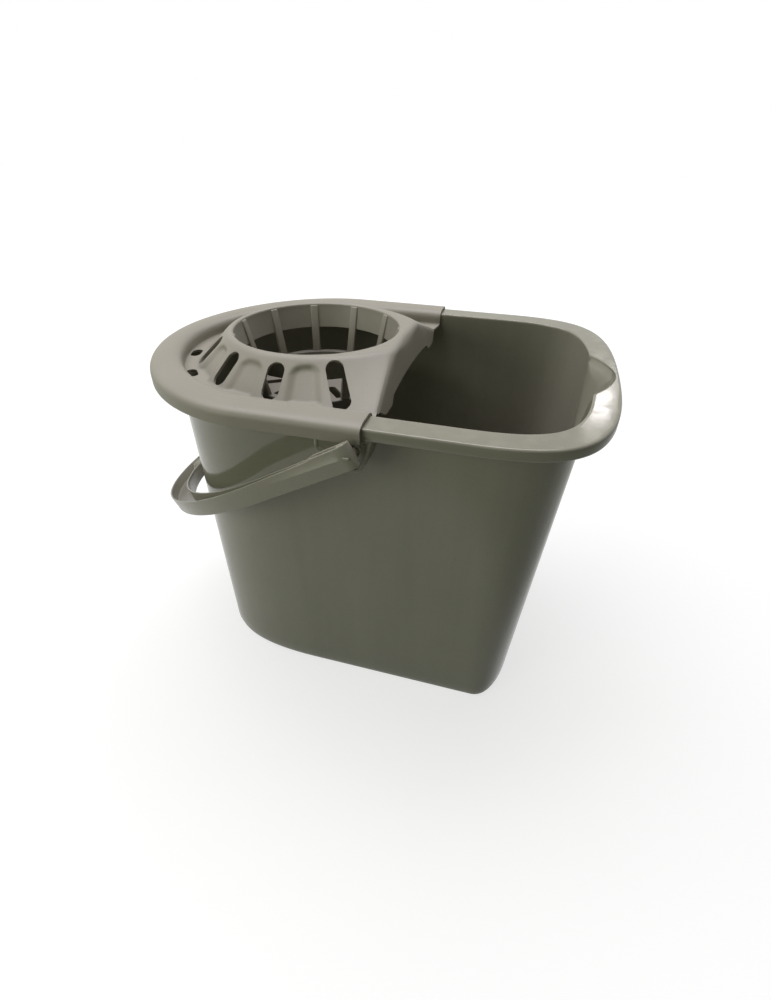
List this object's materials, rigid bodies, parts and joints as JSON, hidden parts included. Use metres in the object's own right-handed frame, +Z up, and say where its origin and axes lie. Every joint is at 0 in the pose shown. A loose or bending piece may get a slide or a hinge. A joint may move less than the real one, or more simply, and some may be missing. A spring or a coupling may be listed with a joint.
{
  "type": "mop bucket with wringer",
  "caption": "Oval tapered mop bucket with a pouring lip, a slotted wringer basket that sits over one end of the rim, and a swinging carrying handle.",
  "frame": {"origin": "middle of the bucket's underside, on the surface that it stands on", "axes": "+X to the pouring spout, -X to the wringer end, +Z up; the XZ plane is the plane of symmetry"},
  "size_m": [0.3771, 0.3, 0.283],
  "materials": {
    "bucket_plastic": "warm grey polypropylene, semi-gloss as moulded",
    "handle_plastic": "warm grey polypropylene, semi-gloss as moulded",
    "wringer_plastic": "warm grey polypropylene, semi-gloss as moulded"
  },
  "bodies": {
    "bucket": {"bucket_floor": "bucket_plastic", "near_wall": "bucket_plastic", "far_wall": "bucket_plastic", "wringer_end_wall": "bucket_plastic", "spout_end_wall": "bucket_plastic", "bucket_rim": "bucket_plastic", "pouring_spout": "bucket_plastic", "near_handle_lug": "bucket_plastic", "far_handle_lug": "bucket_plastic"},
    "handle": {"near_handle_arm": "handle_plastic", "far_handle_arm": "handle_plastic", "handle_grip": "handle_plastic", "near_pivot_pin": "handle_plastic", "far_pivot_pin": "handle_plastic"},
    "wringer": {"rim_cover_end": "wringer_plastic", "near_rim_cover": "wringer_plastic", "far_rim_cover": "wringer_plastic", "drain_deck": "wringer_plastic", "slotted_hood": "wringer_plastic", "front_apron": "wringer_plastic", "basket_band": "wringer_plastic", "squeezing_bars": "wringer_plastic", "basket_floor": "wringer_plastic"}
  },
  "joints": [
    {"name": "wringer_lift", "type": "slide", "parent": "bucket", "child": "wringer", "axis": [0, 0, 1], "range_m": [0, 0.2]},
    {"name": "handle_swing", "type": "hinge", "parent": "bucket", "child": "handle", "pos_m": [0.024, 0, 0.2535], "axis": [0, 1, 0], "range_deg": [-4, 239]}
  ]
}
